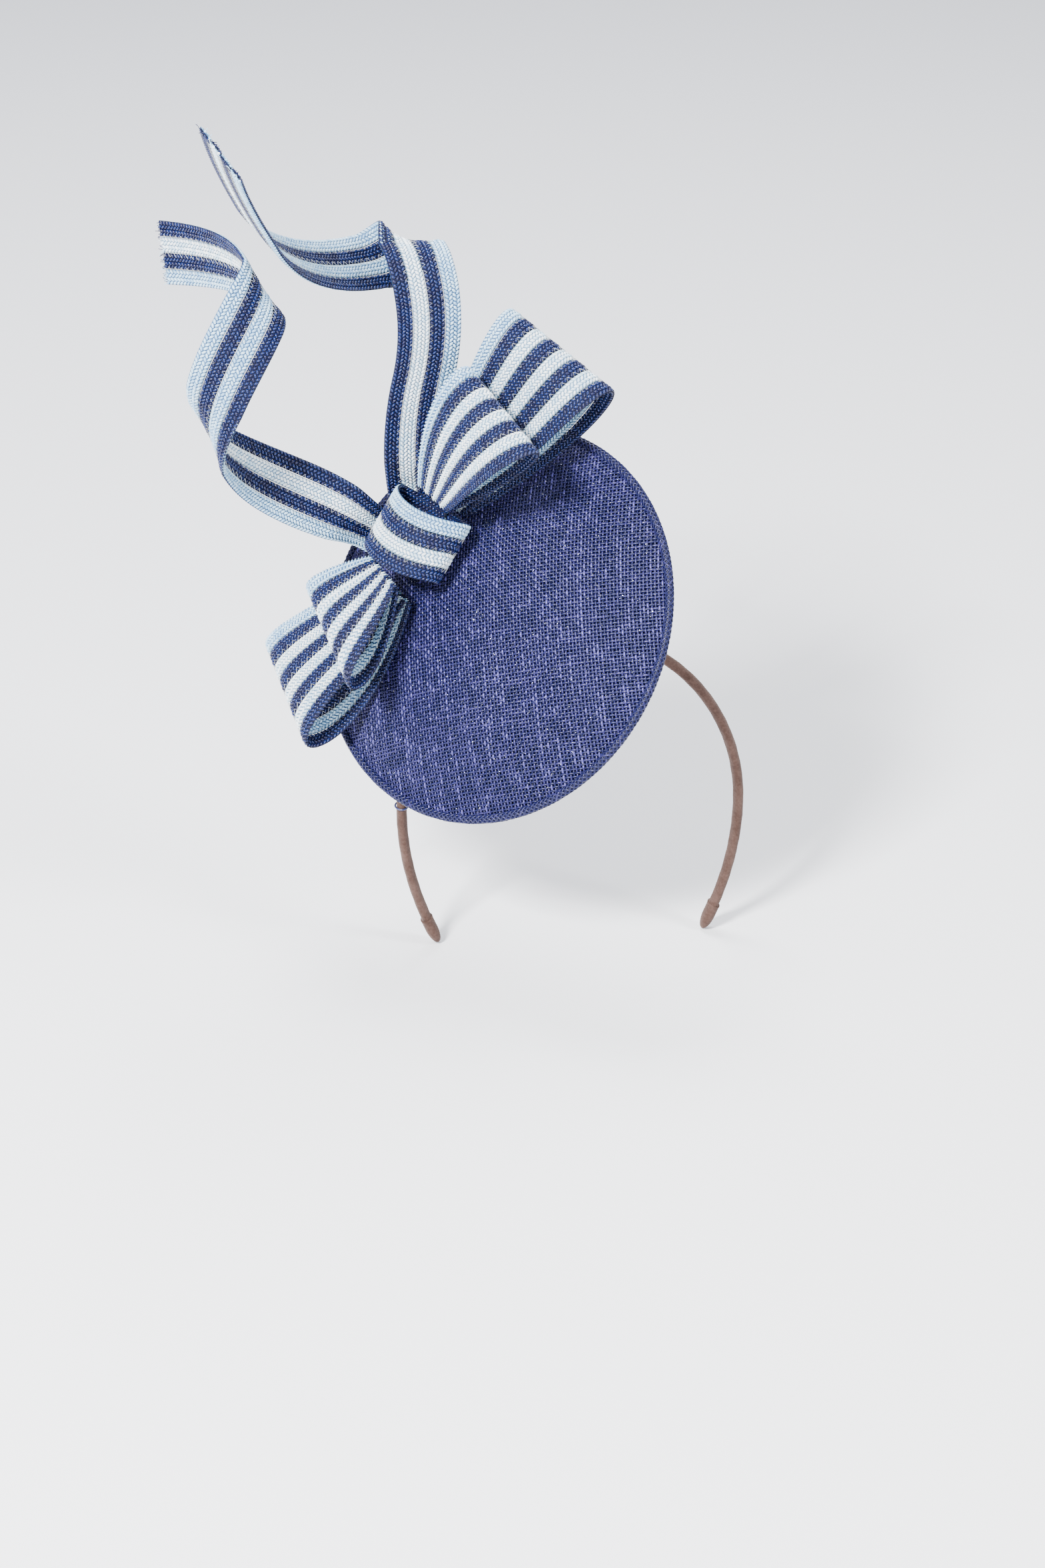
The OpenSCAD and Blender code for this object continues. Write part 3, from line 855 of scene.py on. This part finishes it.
def ribbon_ground(name, stations, lanes):
    """The ribbon's middle surface. Its UV map runs from 0 to 1 across and along it."""
    count = 2 * lanes + 1
    spots = np.array([[s[0] + s[2] * (k / (count - 1) - 0.5) for k in range(count)]
                      for s in stations])
    steps = np.linalg.norm(np.diff([s[0] for s in stations], axis=0), axis=1)
    gone = np.concatenate([[0], np.cumsum(steps)])
    gone = gone / gone[-1]
    faces = [(i * count + j, (i + 1) * count + j, (i + 1) * count + j + 1, i * count + j + 1)
             for i in range(len(stations) - 1) for j in range(count - 1)]
    mesh = bpy.data.meshes.new(name)
    mesh.from_pydata(spots.reshape(-1, 3).tolist(), [], faces)
    uv = mesh.uv_layers.new(name="UVMap")
    corners = np.zeros(len(mesh.loops), np.int32)
    mesh.loops.foreach_get("vertex_index", corners)
    i, j = corners // count, corners % count
    uv.data.foreach_set("uv", np.stack([j / (count - 1), gone[i]], 1).ravel())
    for label, value in (("along", [unit(s[1]) for s in stations]),
                         ("outward", [unit(np.cross(s[1], s[2])) for s in stations])):
        attribute = mesh.attributes.new(label, "FLOAT_VECTOR", "POINT")
        attribute.data.foreach_set("vector", np.repeat(value, count, axis=0).ravel())
    spread = [np.linalg.norm(s[2]) / (lanes * BRAID_W) for s in stations]
    attribute = mesh.attributes.new("spread", "FLOAT", "POINT")
    attribute.data.foreach_set("value", np.repeat(spread, count))
    ob = bpy.data.objects.new(name, mesh)
    scene.collection.objects.link(ob)
    return ob


def sampler(web, given):
    """A function that reads a field of the ribbon's ground at a place on its UV map."""
    ground = web.node("GeometryNodeObjectInfo", None, given.out("Ground")).out("Geometry")
    chart = read(web, "UVMap", "FLOAT_VECTOR")

    def sample(value, spot, kind="FLOAT_VECTOR"):
        return web.node("GeometryNodeSampleUVSurface", {"data_type": kind}, ground, value,
                        chart, spot)
    return sample


def ridden(web, sample, spot, side):
    """The ground's place, its run and its outward way at a spot, on one side."""
    return (sample(web.position(), spot), sample(read(web, "along", "FLOAT_VECTOR"), spot),
            sample(read(web, "outward", "FLOAT_VECTOR"), spot) * side)


TONES = {"Navy": NAVY, "Navy_Deep": NAVY_DEEP, "White": WHITE, "White_Deep": WHITE_DEEP,
         "Sky": SKY, "Sky_Deep": SKY_DEEP}
web, given = growing("plaited_yarns", Ground="Object", Lanes="Int", Rows="Int", Side="Float",
                     Navy_Lane="Int", Sky_Lane="Int", Long="Float", Wide="Float", High="Float",
                     Fray="Float", Seed="Int", **{label: "Material" for label in TONES})
sample = sampler(web, given)
lanes = given.out("Lanes")
rows = given.out("Rows")
side = given.out("Side")
across_count = lanes * float(COLUMNS)
lattice = web.node("GeometryNodeMeshGrid", None, across_count - 1.0, rows - 1.0,
                   across_count, rows).out("Mesh")
x, y, _ = web.axes(web.position())
lattice = stored(web, lattice, "step_x", (x + (across_count - 1.0) * 0.5).by("ROUND"))
lattice = stored(web, lattice, "step_y", y + (rows - 1.0) * 0.5)
step_x = read(web, "step_x")
step_y = read(web, "step_y")
lane = ((step_x + 0.5) / float(COLUMNS)).by("FLOOR")
column = step_x - lane * float(COLUMNS)
slanted = column.by("MODULO", 2.0).by("ROUND")
share = (column + 0.5) / float(COLUMNS)
spot = web.vector((lane + EDGE_TRIM + share * (1 - 2 * EDGE_TRIM)) / lanes,
                  (step_y + 0.25 + slanted * 0.5) / rows, 0.0)
here, along, outward = ridden(web, sample, spot, side)
spread = sample(read(web, "spread"), spot, "FLOAT")
offset = share * 2.0 - 1.0
pillow = 1.0 - offset * offset
sideways = outward.by("CROSS_PRODUCT", along) * side
lean = outward + sideways * (offset * PILLOW_LEAN)
turned = web.node("FunctionNodeAxesToRotation", None, lean, along)
jitter = web.node("FunctionNodeRandomValue", {"data_type": "FLOAT"}, Min=-1.0, Max=1.0,
                  Seed=given.out("Seed"))
spun = web.node("FunctionNodeAxisAngleToRotation", None, (0, 0, 1),
                (slanted * 2.0 - 1.0) * SLANT * side + jitter * 0.07)
turned = web.node("FunctionNodeRotateRotation", {"rotation_space": "LOCAL"}, turned, spun)
lattice = stored(web, lattice, "lane", lane)
lattice = stored(web, lattice, "tone", jitter)
lattice = web.node("GeometryNodeSetPosition", None, lattice, Position=here + outward * (
    BRAID_GAP / 4 + BRAID_T * (0.10 + 0.5 * pillow)))
grain = web.node("GeometryNodeMeshIcoSphere", None, 1.0, 1).out("Mesh")
size = web.vector(given.out("Long") * (1.0 + jitter * 0.05) * 0.5,
                  given.out("Wide") * spread * 0.5,
                  given.out("High") * (0.35 + spread * 0.65) * 0.5)
yarns = web.node("GeometryNodeInstanceOnPoints", None, lattice, Instance=grain,
                 Rotation=turned, Scale=size)
# The loose yarns of a cut end start just before the ribbon's last row.
ends = web.line(lanes * FRAYS_PER_LANE, (0, 0, 0), (1, 0, 0))
end_x = (web.node("GeometryNodeInputIndex") * 1.0 + 0.5) / (lanes * FRAYS_PER_LANE)
end_lane = (end_x * lanes).by("FLOOR")
here, along, outward = ridden(web, sample, web.vector(end_x, 0.998, 0.0), side)
chance = web.node("FunctionNodeRandomValue", {"data_type": "FLOAT_VECTOR"},
                  Min=(-1.0, -1.0, -1.0), Max=(1.0, 1.0, 1.0), Seed=given.out("Seed"))
turned = web.node("FunctionNodeAxesToRotation", None, outward + chance * 0.35,
                  along + chance * 0.4)
ends = stored(web, ends, "lane", end_lane)
ends = stored(web, ends, "tone", web.axes(chance)[0])
ends = web.node("GeometryNodeSetPosition", None, ends, Position=here + outward * (BRAID_T * 0.5))
strand = web.node("GeometryNodeCurvePrimitiveBezierSegment", None, Resolution=5, Start=(0, 0, 0),
                  Start_Handle=(0.4, 0.0, 0.06), End_Handle=(0.7, 0.14, -0.10), End=(1, 0.30, 0.12))
strand = web.node("GeometryNodeInstanceOnPoints", None, ends, Instance=strand, Rotation=turned,
                  Scale=given.out("Fray") * (0.6 + 0.4 * web.axes(chance)[1]))
strand = web.node("GeometryNodeRealizeInstances", None, strand)
strand = web.node("GeometryNodeSetCurveRadius", None, strand, Radius=1.0)
fluff = piped(web, strand, web.circle(4, FRAY_R))
frayed = web.node("GeometryNodeSwitch", {"input_type": "GEOMETRY"},
                  given.out("Fray") > 0.0001, None, fluff)
joined = web.tree.nodes.new("GeometryNodeJoinGeometry")
for shape in (yarns, frayed):
    web.tree.links.new(shape.socket, joined.inputs[0])
plaits = web.node("GeometryNodeRealizeInstances", None, Wire(web, joined.outputs[0]))
plaits = web.node("GeometryNodeSetShadeSmooth", None, plaits)
lane = read(web, "lane")
odd = lane.by("MODULO", 2.0)
is_navy = 1.0 - (odd - given.out("Navy Lane") * 1.0).by("ABSOLUTE").by("MINIMUM", 1.0)
sky_lane = given.out("Sky Lane") * 1.0
is_sky = ((lane - sky_lane).by("ABSOLUTE") < 0.5).by("MAXIMUM", sky_lane < -0.5)
is_sky = is_sky * (is_navy < 0.5)
is_white = (is_navy < 0.5) * (is_sky < 0.5)
deep = read(web, "tone") > DEEP_ABOVE
for chosen, label in ((is_navy, "Navy"), (is_white, "White"), (is_sky, "Sky")):
    plaits = web.node("GeometryNodeSetMaterial", None, plaits, chosen > 0.5, given.out(label))
    plaits = web.node("GeometryNodeSetMaterial", None, plaits, chosen * deep > 0.5,
                      given.out(label + " Deep"))
web.node("NodeGroupOutput", None, plaits)
plait_tree = web.tree

# The joins are sewn with a clear zigzag thread on both sides.
web, given = growing("zigzag_thread", Ground="Object", Lanes="Int", Stitches="Int",
                     Swing="Float", Lift="Float", Thick="Float", Thread="Material")
sample = sampler(web, given)
lanes = given.out("Lanes")
stitches = given.out("Stitches")
seam = web.node("GeometryNodeMeshToCurve", None, web.line(stitches, (0, 0, 0), (0, 1, 0)))
joins = web.line(lanes - 1.0, (1, 0, 0), (1, 0, 0))
seams = web.node("GeometryNodeInstanceOnPoints", None, joins, Instance=seam)
sides = web.line(2, (0, 0, -1), (0, 0, 2))
seams = web.node("GeometryNodeInstanceOnPoints", None, sides, Instance=seams)
seams = web.node("GeometryNodeRealizeInstances", None, seams)
x, y, z = web.axes(web.position())
swing = y.by("MODULO", 2.0).by("ROUND") - 0.5
spot = web.vector((x + swing * given.out("Swing")) / lanes, (y + 0.5) / stitches, 0.0)
here, _, outward = ridden(web, sample, spot, z)
seams = web.node("GeometryNodeSetPosition", None, seams,
                 Position=here + outward * given.out("Lift"))
seams = web.node("GeometryNodeSetCurveRadius", None, seams, Radius=1.0)
seams = piped(web, seams, web.circle(3, given.out("Thick")))
seams = web.node("GeometryNodeSetMaterial", None, seams, True, given.out("Thread"))
web.node("NodeGroupOutput", None, seams)
zigzag_tree = web.tree

clear_thread, web, shader = finish("clear_thread", Roughness=0.25, Coat_Weight=0.4,
                                   Base_Color=(0.70, 0.72, 0.70, 1))
bumped(web, shader, shaken(web, 3000.0), 0.15, 0.0001)

ribbon_seeds = itertools.count(21)


def ribbon(name, stations, lanes, side, face, back, nodes, fray=0.0):
    """Makes a ribbon's two plies. face and back are each (navy lane, sky lane)."""
    length = ribbon_length(stations)
    ground = ribbon_ground(name + "_ground", stations, lanes)
    for ply, way, (navy_lane, sky_lane) in (("face", side, face), ("back", -side, back)):
        parts = [skin([tape_ring(s, lane, lanes, way) for s in stations]) for lane in range(lanes)]
        # The tapes carry the painted shade of the gaps between the yarns.
        tape = solid(f"{name}_{ply}_tape", parts, SHADED_TAPES,
                     [lane_tint(lane, navy_lane, sky_lane) for lane in range(lanes)])
        plaits = grown(f"{name}_{ply}_yarns", plait_tree, Ground=ground, Lanes=lanes,
                       Rows=round(length / ROW), Side=float(way), Navy_Lane=navy_lane,
                       Sky_Lane=sky_lane, Long=GRAIN_LONG, Wide=GRAIN_WIDE, High=GRAIN_HIGH,
                       Fray=fray, Seed=next(ribbon_seeds), **TONES)
        for ob in (tape, plaits):
            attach(ob, "root")
        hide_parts(*[n for n in nodes if f"_{ply}_" in n])
    seams = grown(name + "_seams", zigzag_tree, Ground=ground, Lanes=lanes,
                  Stitches=round(length / STITCH), Swing=STITCH_SWING,
                  Lift=BRAID_T * STITCH_LIFT, Thick=STITCH_R, Thread=clear_thread)
    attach(seams, "root")
    bpy.data.objects.remove(ground)
    width = float(np.mean([np.linalg.norm(s[2]) for s in stations]))


# ---- The bound middle of the bow ----------------------------------------------
# The folded ribbons are pleated together and wound with thread, then sewn down
# through the disc. Little of it shows, at the mouths of the knot.

KNOT_AT = np.array([-36.3, 25, 28.1]) * MM
KNOT_TURN = math.radians(-12)
GATHER = np.array([30, 17, 13]) * MM
GATHER_RINGS = 12
GATHER_SIDES = 72
PLEATS = 18
PLEAT_DEEP = 0.09
END_DRAWN_IN = 0.10
CORNER = 0.7
knot_axes = DISC_AXES @ np.array(Matrix.Rotation(KNOT_TURN, 3, "Z"))
knot_mid = DISC_AXES @ KNOT_AT + DISC_AT

rings = []
for k in np.linspace(-0.5, 0.5, GATHER_RINGS):
    ring = []
    for j in range(GATHER_SIDES):
        angle = 2 * PI * j / GATHER_SIDES
        pleat = (1 - PLEAT_DEEP * (0.5 + 0.5 * math.cos(PLEATS * angle))
                 - END_DRAWN_IN * (2 * k) ** 6)
        flat = abs(math.cos(angle)) ** CORNER * math.copysign(1, math.cos(angle))
        ring.append(knot_mid + knot_axes @ (np.array([
            GATHER[0] / 2 * flat * pleat, GATHER[1] * k, GATHER[2] / 2 * math.sin(angle) * pleat])))
    rings.append(ring)
bundle = solid("pleated_middle", [skin(rings)], [NAVY_DEEP])
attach(bundle, "root")
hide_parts("bow_gather")

# ---- The tails ----------------------------------------------------------------
# Two lengths of the ribbon, four plaits wide, sewn to the knot's side and steamed
# into curls. Their ends are cut square and left raw.

TAIL_LANES = 4
SEAM_REACH = 22 * MM
STRIDE = 1.5 * MM
FRAY_LONG = 3.2 * MM


def spun(v, axis, angle):
    """v turned about a unit axis."""
    return (v * math.cos(angle) + np.cross(axis, v) * math.sin(angle)
            + axis * (axis @ v) * (1 - math.cos(angle)))


def tail_stations(root, steps, seam):
    """A tail's course. A step is its length, bend, twist and edgewise turn in degrees."""
    spot = np.array(root[0]) * MM
    run = unit(np.array(root[1]))
    across = np.array(root[2]) - run * (run @ np.array(root[2]))
    across = unit(across)
    shift = DISC_AXES @ (np.array(seam[0]) * MM) + DISC_AT - spot
    line = DISC_AXES @ (np.array(seam[1]) * MM)
    frames = [(spot, across, 0.0)]
    gone = 0.0
    for length, bend, twist, edgewise in steps:
        count = math.ceil(length * MM / STRIDE)
        for k in range(count):
            out = np.cross(run, across)
            turn = (run * twist - across * bend + out * edgewise) * math.radians(1 / count)
            angle = np.linalg.norm(turn)
            axis = turn / angle
            onward = spun(run, axis, angle)
            spot = spot + (run + onward) * length * MM / count / 2
            run = onward
            across = spun(across, axis, angle)
            gone += length * MM / count
            frames.append((spot, across, gone))
    stations = []
    for spot, across, gone in frames:
        m = max(0, 1 - gone / SEAM_REACH)
        sewn = m * m * (3 - 2 * m)
        stations.append((spot + shift * sewn,
                         across * TAIL_LANES * BRAID_W * (1 - sewn) + line * sewn))
    return with_runs(stations)


def with_runs(stations):
    """Adds the direction of the course to each place and line across it."""
    last = len(stations) - 1
    return [(s, unit(stations[min(i + 1, last)][0] - stations[max(i - 1, 0)][0]), a)
            for i, (s, a) in enumerate(stations)]


left_tail = tail_stations(
    [[-80.5, 42.5, 35.5], [-0.83, 0.18, 0.54], [-0.41, 0.47, -0.78]],
    [[46, 24, 55, 0], [48, 30, 40, 0], [31, 53, 47, 0], [42, 55, 32, 0],
     [21, 55, 35, 0], [76, 43, 24, 0]],
    [[-60.6, 20.3, 19.6], [-9.6, -19.3, -1.3]])
right_tail = tail_stations(
    [[-64, 42, 52], [-0.09, 0.46, 0.88], [0.95, 0.31, -0.07]],
    [[55, -30, 2, 10], [40, 6, -4, -20], [28, 87, 5, 9], [12, 50, 52, -8],
     [16, 81, 36, -11], [84, 52, 17, -8], [67, 3, -4, 21]],
    [[-50.6, 41, 17.3], [21.8, 12.5, -11]])
NAVY_FIRST, PALE_FIRST = 0, 1
ALL_SKY = -1
for name, stations, side in (("left_tail", left_tail, 1), ("right_tail", right_tail, -1)):
    ribbon(name, stations, TAIL_LANES, side, (NAVY_FIRST, 3), (PALE_FIRST, ALL_SKY),
           [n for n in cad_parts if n.startswith(name)],
           fray=FRAY_LONG)

# ---- The loops ----------------------------------------------------------------
# Four loops of a wider ribbon, eight plaits across, two to each side of the knot.
# Each closes to a pleated root that is bound inside it.

LOOP_LANES = 8
GATHER_LINE = np.array([13, -3, 0]) * MM
LOOP_MOUTH = math.radians(5)
FAN = 0.7
LOOP_STEPS = 96


def loop_stations(root, tip, line, height, lift):
    """A loop's course, from its lower end round its tip to its upper end."""
    root, tip, line = (np.array(v) * MM for v in (root, tip, line))
    reach = tip - root
    rise = np.cross(line, reach)
    up = unit(rise) * math.copysign(1, rise[2])
    stations = []
    for angle in np.linspace(LOOP_MOUTH, PI - LOOP_MOUTH, LOOP_STEPS):
        q = math.sin(angle)
        spot = root + reach * q + up * MM * (lift * 4 * q * (1 - q)
                                             - height / 2 * math.sin(2 * angle))
        across = GATHER_LINE * (1 - q ** FAN) + line * q ** FAN
        stations.append((DISC_AXES @ spot + DISC_AT, DISC_AXES @ across))
    return with_runs(stations), math.copysign(1, rise[2])


LOOPS = {"upper_outer": ([-33, 35.5, 23.8], [5, 121, 32], [57, -21, -15], 27, -4),
         "upper_inner": ([-32.3, 38.5, 32.2], [4, 85, 58], [52, -28, 0], 17, 1.5),
         "lower_inner": ([-39.8, 7.3, 36], [-48.4, -32, 46.2], [47, -36, 7], 16, -3.5),
         "lower_outer": ([-38, 5, 24.2], [-75, -62, 24.6], [46, -37, 6], 22, -4.5)}
for name, shape in LOOPS.items():
    stations, side = loop_stations(*shape)
    ribbon(name, stations, LOOP_LANES, side, (PALE_FIRST, 0), (PALE_FIRST, ALL_SKY),
           [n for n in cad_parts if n.startswith(name)])

# ---- The knot -----------------------------------------------------------------
# A short length of the four-plait ribbon wrapped once round the bow's middle, with
# its ends sewn together underneath.

KNOT_ACROSS = 41 * MM
KNOT_HIGH = 25 * MM
KNOT_SLIT = math.radians(3)
KNOT_BOW = 5 * MM
KNOT_LEAN = 0.5 * MM
SAG_POWER = 1.5
KNOT_STEPS = 90
stations = []
for angle in np.linspace(-PI / 2 + KNOT_SLIT, 1.5 * PI - KNOT_SLIT, KNOT_STEPS):
    spot = np.array([math.cos(angle) * KNOT_ACROSS / 2,
                     KNOT_LEAN - KNOT_BOW * max(0, math.sin(angle)) ** SAG_POWER,
                     math.sin(angle) * KNOT_HIGH / 2])
    stations.append((knot_mid + knot_axes @ spot,
                     knot_axes @ np.array([0, TAIL_LANES * BRAID_W, 0])))
ribbon("knot", with_runs(stations), TAIL_LANES, -1, (NAVY_FIRST, 3), (PALE_FIRST, ALL_SKY),
       [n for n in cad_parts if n.startswith("knot")])
